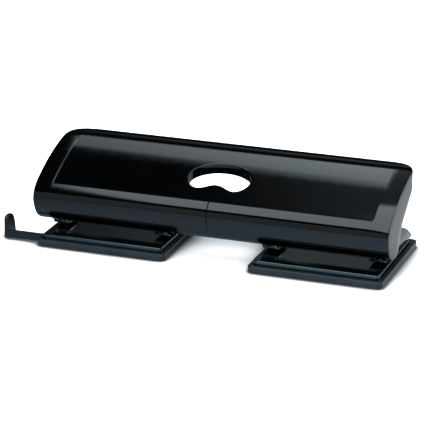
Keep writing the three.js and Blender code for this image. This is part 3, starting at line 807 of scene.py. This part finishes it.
def make_plate(side, x):
    p = PLATE
    solid = Solid()

    def loop(inset, z):
        r = max(p["corner"] - inset, 0.6)
        half = p["half"] - inset
        return rounded_rectangle(x - half, x + half, p["front"] + inset, p["rear"] - inset, r, z)

    edge_r = 1.1
    outside = [(p["sheet"], 3.75), (1.2, p["skirt"]), (0.2, p["skirt"]), (0, 3.8), (0, 4.4)]
    outside += [(i, p["top"] - d) for i, d in fillet(edge_r, 6)]
    inner_ring, top_ring = solid.skin([loop(i, z) for i, z in outside])
    under = p["top"] - p["sheet"]
    inside_loops = [loop(p["sheet"], 4.2), loop(p["sheet"], under)]
    low, high = solid.skin(inside_loops)
    solid.bridge(low, inner_ring)
    tops, bottoms = [], []
    holes = [(s * PIN_X, PIN_Y, DIE_R) for s in (-1, 1)]
    holes += [(s * RIVET["x"], RIVET["y"], RIVET["r"] + GAP) for s in (-1, 1)]
    for dx, y, r in holes:
        rings = [circle(x + dx, y, p["top"], r + 0.15), circle(x + dx, y, p["top"] - 0.15, r)]
        rings.append(circle(x + dx, y, under, r))
        a, b = solid.skin(rings)
        tops.append(a)
        bottoms.append(b)
    solid.cap(top_ring, tops)
    solid.cap(high, bottoms)
    piece = mesh_object(f"base_plate_{side}_pressing", solid.points, solid.faces, PLATE_ENAMEL)
    if side == "left":
        (y0, y1), edge = GUIDE_SLOT, x - p["half"]
        cut(piece, (edge - 1, y0, 0), (edge + 2, y1, under - 0.1))
    return settle(piece, "base", "black_enamel", f"base_plate_{side}")


TRAY = dict(half=49.0, depth=95.5, top=5.2, ledge=3.3, floor=1.8)


def make_tray(side, x):
    t = TRAY
    solid = Solid()

    def foot(inset, z):
        half = t["half"] - inset
        return rounded_rectangle(x - half, x + half, inset, t["depth"] - inset, 3.5 - inset * 0.6, z)

    def pocket(inset, z):
        half = PLATE["half"] + GAP - inset
        front, rear = PLATE["front"] - GAP + inset, PLATE["rear"] + GAP - inset
        return rounded_rectangle(x - half, x + half, front, rear, 2.6, z)

    outside = [(1.3, 0.0), (0.9, 0.08), (0.35, 0.55), (0.08, 1.1), (0.0, 1.6)]
    outside += [(i, t["top"] - d) for i, d in fillet(0.7, 5)]
    bottom, rim = solid.skin([foot(i, z) for i, z in outside])
    inner = [pocket(-0.25, t["top"]), pocket(-0.07, t["top"] - 0.07), pocket(0, t["top"] - 0.25)]
    inner += [pocket(0, t["ledge"]), pocket(2.4, t["ledge"]), pocket(2.6, t["ledge"] - 0.2)]
    inner += [pocket(2.6, t["floor"] + 0.4), pocket(2.9, t["floor"])]
    first, last = solid.skin(inner)
    solid.bridge(rim, first)
    solid.cap(bottom)
    solid.cap(last)
    piece = mesh_object(f"chip_tray_{side}_moulding", solid.points, solid.faces, SATIN)
    if side == "left":
        y0, y1 = GUIDE_SLOT
        cut(piece, (x - 55, y0, 0.9), (x + PLATE["half"] + 0.6, y1, 20))
    return settle(piece, f"tray_{side}", "black_plastic", f"chip_tray_{side}")


for side, x in zip(SIDES, UNIT_X):
    make_plate(side, x)
    make_tray(side, x)

# ------------------------------------------------------------------ mechanism

FRAME_HALF = 46.2
PIN = dict(r=2.75, tip=11.3, top=37.0, groove_r=2.2, groove=(33.7, 35.0))
COIL = dict(wire=0.4, radius=3.45, turns=5, low=21.5, high=33.3)
BOSS_X, BOSS_U = 20.0, 8.0  # screw bosses: across, and up the lever's slope
CROSSBAR_RIVET = (30.0, -15.75)  # the same way
GUIDE_RIVET = (39.5, 24.2)  # (y, z)
LINK_RIVET_Y, LINK_RIVET_Z = 22, (19.5, 24.5)
LEVER_SHEET, CROSSBAR_SHEET = 2, 4


def make_pin(number, x):
    r, tip, top = PIN["r"], PIN["tip"], PIN["top"]
    low, high = PIN["groove"]
    profile = [(0, tip + 1.1), (r * 0.55, tip + 0.55), (r - 0.05, tip), (r, tip + 0.06), (r, low - 0.15)]
    profile += [(r - 0.15, low), (PIN["groove_r"], low), (PIN["groove_r"], high), (r - 0.15, high)]
    profile += [(r, high + 0.15), (r, top - 0.8), (r - 0.2, top - 0.3), (r - 0.8, top - 0.02), (0, top)]
    pin = lathe(f"punch_pin_{number}_ground", profile, along_z(x, PIN_Y), TOOL)
    settle(pin, f"pin_{number}", "tool_steel", f"punch_pin_{number}")


def make_spring(number, x):
    """Compression spring with closed ends."""
    wire, turns = COIL["wire"], COIL["turns"]
    per_turn, sides = 40, 10
    solid = Solid()
    rings = []
    for k in range(turns * per_turn + 1):
        t = k / (turns * per_turn)
        rise = float(np.interp(t * turns, (0, 0.8, turns - 0.8, turns), (0, 0.07, 0.93, 1)))
        a = 2 * math.pi * turns * t
        z = COIL["low"] + (COIL["high"] - COIL["low"]) * rise
        ring = []
        for j in range(sides):
            b = 2 * math.pi * j / sides
            r = COIL["radius"] + wire * math.cos(b)
            ring.append((x + r * math.cos(a), PIN_Y + r * math.sin(a), z + wire * math.sin(b)))
        rings.append(solid.add(ring))
    for first, second in zip(rings, rings[1:]):
        solid.bridge(first, second)
    solid.faces += [tuple(rings[0]), tuple(rings[-1])]
    coil = mesh_object(f"return_spring_{number}_coil", solid.points, solid.faces, SPRING)
    settle(coil, "base", "spring_steel", f"return_spring_{number}")
    bottom = COIL["low"] - wire
    anchor = to_frame([(x, PIN_Y, bottom)])[0]
    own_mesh(coil)


def make_axle():
    half, r, groove_r = 128.2, AXLE_R, 2.0
    clip = FRAME_HALF + UNIT_X[1] + GAP
    profile = [(0, 0), (r - 0.5, 0), (r, 0.5)]
    for low, high in ((half - clip - 1.1, half - clip + 0.2), (half + clip - 0.2, half + clip + 1.1)):
        profile += [(r, low), (groove_r, low), (groove_r, high), (r, high)]
    profile += [(r, 2 * half - 0.5), (r - 0.5, 2 * half), (0, 2 * half)]
    axle = lathe("pivot_axle_turned", profile, along_x(*PIVOT, start=-half), STEEL)
    settle(axle, "base", "spring_steel", "pivot_axle")


def make_boss(number, x):
    """Screw boss under the cover, closed at the top and bored from below."""
    outer, bore = 3.4, 1.7
    low, bore_end, high = 2.3, 9.6, 12.2
    profile = [(0, bore_end), (bore, bore_end), (bore, low + 0.2), (bore + 0.2, low), (outer - 0.3, low)]
    profile += [(outer, low + 0.3), (outer, high), (0, high)]
    boss = lathe(f"cover_boss_{number}", profile, on_slope(x, BOSS_U), GLOSS)
    settle(boss, "handle", "black_plastic", "handle_cover")


def make_fasteners(number, unit_x, side):
    shank = LEVER_SHEET + CROSSBAR_SHEET + 3 * GAP
    place = on_slope(unit_x + side * CROSSBAR_RIVET[0], CROSSBAR_RIVET[1])
    profile = [(r, d - GAP) for r, d in rivet(1.5, 2.3, shank, 0.9)]
    piece = lathe(f"crossbar_rivet_{number}_headed", profile, place, ZINC, 28)
    settle(piece, "handle", "zinc_plated_steel", f"crossbar_rivet_{number}")

    bottom = PLATE["top"] - PLATE["sheet"] - GAP
    shank = PLATE["top"] + SHEET + 2 * GAP - bottom
    place = along_z(unit_x + side * RIVET["x"], RIVET["y"], bottom)
    piece = lathe(f"frame_rivet_{number}_headed", rivet(RIVET["r"], 3, shank, 1), place, ZINC, 32)
    settle(piece, "base", "zinc_plated_steel", f"frame_rivet_{number}")

    start = FRAME_HALF - 2 * SHEET - 2 * GAP
    shank = 2 * SHEET + 3 * GAP
    place = along_x(*GUIDE_RIVET, unit_x + side * start, side)
    piece = lathe(f"guide_rivet_{number}_headed", rivet(1.2, 2.2, shank, 0.5), place, ZINC, 28)
    settle(piece, "base", "zinc_plated_steel", f"guide_rivet_{number}")


def make_link_rivets(side_name, side):
    start = UNIT_X[1] - FRAME_HALF - SHEET - 2 * GAP
    for number, z in enumerate(LINK_RIVET_Z, 1):
        place = along_x(LINK_RIVET_Y, z, side * start, side)
        name = f"link_rivet_{side_name}_{number}"
        piece = lathe(name + "_headed", rivet(1.2, 2.2, 2 * SHEET + 3 * GAP, 0.8), place, ZINC, 28)
        settle(piece, "base", "zinc_plated_steel", name)


make_axle()
formed("link_channel", "base", "zinc_plated_steel", ZINC, 0.3)
formed("handle_crossbar", "handle", "zinc_plated_steel", ZINC, 0.35)
formed("guide_detent_spring", "base", "spring_steel", SPRING, 0.08)
formed("paper_guide", "guide", "black_plastic", GUIDE_PLASTIC, 0.4, segments=3)
count = 0
for side_name, unit_x in zip(SIDES, UNIT_X):
    formed(f"punch_frame_{side_name}", "base", "black_enamel", ENAMEL, 0.25)
    formed(f"lever_{side_name}", "handle", "zinc_plated_steel", ZINC, 0.3)
    formed(f"upper_pin_guide_{side_name}", "base", "black_enamel", ENAMEL, 0.2)
    formed(f"axle_clip_{side_name}", "base", "spring_steel", SPRING, 0.12)
    make_link_rivets(side_name, 1 if unit_x > 0 else -1)
    for side in (-1, 1):
        count += 1
        make_pin(count, unit_x + side * PIN_X)
        make_spring(count, unit_x + side * PIN_X)
        make_boss(count, unit_x + side * BOSS_X)
        make_fasteners(count, unit_x, side)
        formed(f"pin_clip_{count}", f"pin_{count}", "spring_steel", SPRING, 0.12)
        formed(f"cover_screw_{count}", "handle", "zinc_plated_steel", ZINC, 0.1)

# ------------------------------------------------------------------ camera, floor and light


def add_camera():
    data = bpy.data.cameras.new("camera")
    data.sensor_width = 36
    data.lens = 200.5
    data.clip_start, data.clip_end = 0.05, 20
    camera = bpy.data.objects.new("camera", data)
    bpy.context.scene.collection.objects.link(camera)
    azimuth, elevation, roll, distance = 19.536, 19.144, 0.284, 1648.36
    target = Vector((5.768, 0, 41.789))
    a, e = math.radians(azimuth), math.radians(elevation)
    back = Vector((math.sin(a) * math.cos(e), -math.cos(a) * math.cos(e), math.sin(e)))
    camera.location = ORIGIN + (target + back * distance) * MM
    camera.rotation_mode = "QUATERNION"
    turn = (-back).to_track_quat("-Z", "Y")
    camera.rotation_quaternion = turn @ Quaternion((0, 0, 1), math.radians(roll))
    bpy.context.scene.camera = camera


add_camera()


def add_floor():
    """Pale floor with a painted soft contact shadow; in the gloss it is a painted reflection, dim, and
    brighter to the right.
    """
    mesh = bpy.data.meshes.new("floor")
    w = 6.0
    mesh.from_pydata([(-w, -w, 0), (w, -w, 0), (w, w, 0), (-w, w, 0)], [], [(0, 1, 2, 3)])
    floor = bpy.data.objects.new("floor", mesh)
    floor.location.z = cad_box[0].z - 0.00005
    bpy.context.scene.collection.objects.link(floor)
    material = bpy.data.materials.new("pale_floor")
    material.use_nodes = True
    tree = material.node_tree
    tree.nodes.clear()
    out = tree.nodes.new("ShaderNodeOutputMaterial")
    mix = tree.nodes.new("ShaderNodeMixShader")
    path = tree.nodes.new("ShaderNodeLightPath")
    bright, dim = tree.nodes.new("ShaderNodeBsdfDiffuse"), tree.nodes.new("ShaderNodeBsdfDiffuse")
    # Painted shadow: the floor's colour goes dark where the AO node finds the punch within 16 mm.
    contact = tree.nodes.new("ShaderNodeAmbientOcclusion")
    contact.samples = 8
    contact.inputs["Distance"].default_value = 0.016
    clear_of_painted_shadow = to_range(tree, contact.outputs["AO"], 0, 1, 0.6, 1.0)
    painted_shadow_colour = mix_colour(tree, clear_of_painted_shadow, (0.10, 0.095, 0.095), (0.93, 0.93, 0.93))
    tree.links.new(painted_shadow_colour, bright.inputs["Color"])
    # Painted reflection: the floor as the gloss sees it is a dim colour, darker to the left and brighter
    # to the right, in front of the punch and beside it.
    place = tree.nodes.new("ShaderNodeNewGeometry")
    axes = tree.nodes.new("ShaderNodeSeparateXYZ")
    tree.links.new(place.outputs["Position"], axes.inputs[0])
    near = to_range(tree, axes.outputs["Y"], 0, 1, -0.045, 0.0)
    along = to_range(tree, axes.outputs["X"], 0, 1, -0.4, 0.1)
    painted_reflection_ahead = mix_colour(tree, along, (0.06, 0.082, 0.104), (0.19, 0.25, 0.305))
    across = to_range(tree, axes.outputs["X"], 0, 1, -0.1, 0.12)
    painted_reflection_beside = mix_colour(tree, across, (0.035, 0.052, 0.07), (0.225, 0.23, 0.24))
    tree.links.new(mix_colour(tree, near, painted_reflection_ahead, painted_reflection_beside), dim.inputs["Color"])
    tree.links.new(path.outputs["Is Glossy Ray"], mix.inputs["Fac"])
    tree.links.new(bright.outputs[0], mix.inputs[1])
    tree.links.new(dim.outputs[0], mix.inputs[2])
    tree.links.new(mix.outputs[0], out.inputs["Surface"])
    mesh.materials.append(material)


add_floor()


def area_light(name, at, toward, size, power):
    """Soft light for shape and shadow only: the gloss mirrors the world's panels instead."""
    data = bpy.data.lights.new(name, "AREA")
    data.shape = "RECTANGLE"
    data.size, data.size_y = size
    data.energy = power
    light = bpy.data.objects.new(name, data)
    light.location = at
    light.rotation_mode = "QUATERNION"
    light.rotation_quaternion = (Vector(toward) - Vector(at)).to_track_quat("-Z", "Y")
    light.visible_glossy = False
    bpy.context.scene.collection.objects.link(light)


area_light("overhead", (-0.25, 0.1, 1.6), (0, 0, 0), (1.6, 1.2), 52)
area_light("front_fill", (0.2, -1.6, 1.2), (0, 0, 0.03), (1.4, 0.9), 60)


def add_world():
    """Dim room with soft bright panels, each given by its strength and its limits in direction."""
    world = bpy.data.worlds.new("studio")
    bpy.context.scene.world = world
    world.use_nodes = True
    tree = world.node_tree
    tree.nodes.clear()
    out = tree.nodes.new("ShaderNodeOutputWorld")
    background = tree.nodes.new("ShaderNodeBackground")
    coords = tree.nodes.new("ShaderNodeTexCoord")

    def maths(op, a, b):
        node = tree.nodes.new("ShaderNodeMath")
        node.operation = op
        for socket, value in zip(node.inputs, (a, b)):
            if isinstance(value, (int, float)):
                socket.default_value = value
            else:
                tree.links.new(value, socket)
        return node.outputs[0]

    def band(value, low0, low1, high0, high1):
        """1 between low1 and high0, falling smoothly to 0 outside low0 and high1."""
        result = None
        for a, b in ((low0, low1), (high1, high0)):
            node = tree.nodes.new("ShaderNodeMapRange")
            node.interpolation_type = "SMOOTHSTEP"
            node.inputs["From Min"].default_value = a
            node.inputs["From Max"].default_value = b
            tree.links.new(value, node.inputs["Value"])
            edge = node.outputs["Result"]
            result = edge if result is None else maths("MULTIPLY", result, edge)
        return result

    split = tree.nodes.new("ShaderNodeSeparateXYZ")
    tree.links.new(coords.outputs["Generated"], split.inputs[0])
    x, y, z = split.outputs
    # Two tilted measures: `slant` leans an edge, `taper` narrows a panel toward the left.
    slant = maths("ADD", x, maths("MULTIPLY", z, 0.083))
    taper = maths("ADD", z, maths("MULTIPLY", maths("MINIMUM", maths("ADD", x, 0.34), 0), 5.5))

    measures = {"x": x, "y": y, "z": z, "slant": slant, "taper": taper}

    def panel(strength, **limits):
        light = strength
        for name, value in measures.items():
            if name in limits:
                light = maths("MULTIPLY", light, band(value, *limits[name]))
        return light

    fade = band(x, -0.53, -0.22, 5, 6)
    panels = [
        # Behind, low: the plates and the rear rim.
        panel(0.16, z=(0.22, 0.3, 0.37, 0.45), x=(-0.42, -0.28, 2, 3), y=(0.2, 0.5, 2, 3)),
        # Behind, high: the light band along the rear of the top.
        panel(
            maths("MULTIPLY", fade, 2.3),
            x=(-0.4, -0.386, -0.238, -0.222),
            y=(0.5, 0.535, 2, 3),
            z=(0.53, 0.57, 0.9, 0.95),
        ),
        # Behind, high and wide: a faint light on the right part of the top panel.
        panel(0.26, x=(-0.33, -0.24, -0.1, 0), y=(0.1, 0.25, 2, 3), z=(0.53, 0.57, 0.95, 0.99)),
        # Overhead, in front: the crease between the top and the front.
        panel(
            3.6,
            x=(-0.388, -0.376, 2, 3),
            slant=(-0.309, -0.299, 2, 3),
            y=(-0.72, -0.7, 0.02, 0.08),
            taper=(0.67, 0.71, 2, 3),
        ),
        # Overhead: the outward-leaning rim at the right end.
        panel(3.4, x=(-0.25, -0.22, 0.2, 0.4), y=(0.02, 0.08, 0.29, 0.33), z=(0.6, 0.7, 2, 3)),
        # Behind, to the right: the step at the left end of the top panel.
        panel(3.0, x=(0.35, 0.5, 2, 3), y=(0.2, 0.4, 2, 3), z=(0.0, 0.15, 0.8, 0.9)),
        # The room in front.
        panel(0.5, y=(-3, -2, -0.74, -0.7), z=(-2, -1, 0.5, 0.54)),
    ]
    level = 0.008  # of the room itself
    for light in panels:
        level = maths("ADD", level, light)
    tree.links.new(level, background.inputs["Strength"])
    background.inputs["Color"].default_value = (0.8, 0.92, 1, 1)
    pale = tree.nodes.new("ShaderNodeBackground")
    pale.inputs["Color"].default_value = (0.93, 0.94, 0.95, 1)
    path, mix = tree.nodes.new("ShaderNodeLightPath"), tree.nodes.new("ShaderNodeMixShader")
    tree.links.new(path.outputs["Is Camera Ray"], mix.inputs["Fac"])
    tree.links.new(background.outputs[0], mix.inputs[1])
    tree.links.new(pale.outputs[0], mix.inputs[2])
    tree.links.new(mix.outputs[0], out.inputs["Surface"])


add_world()

bpy.context.scene.view_settings.view_transform = "Standard"
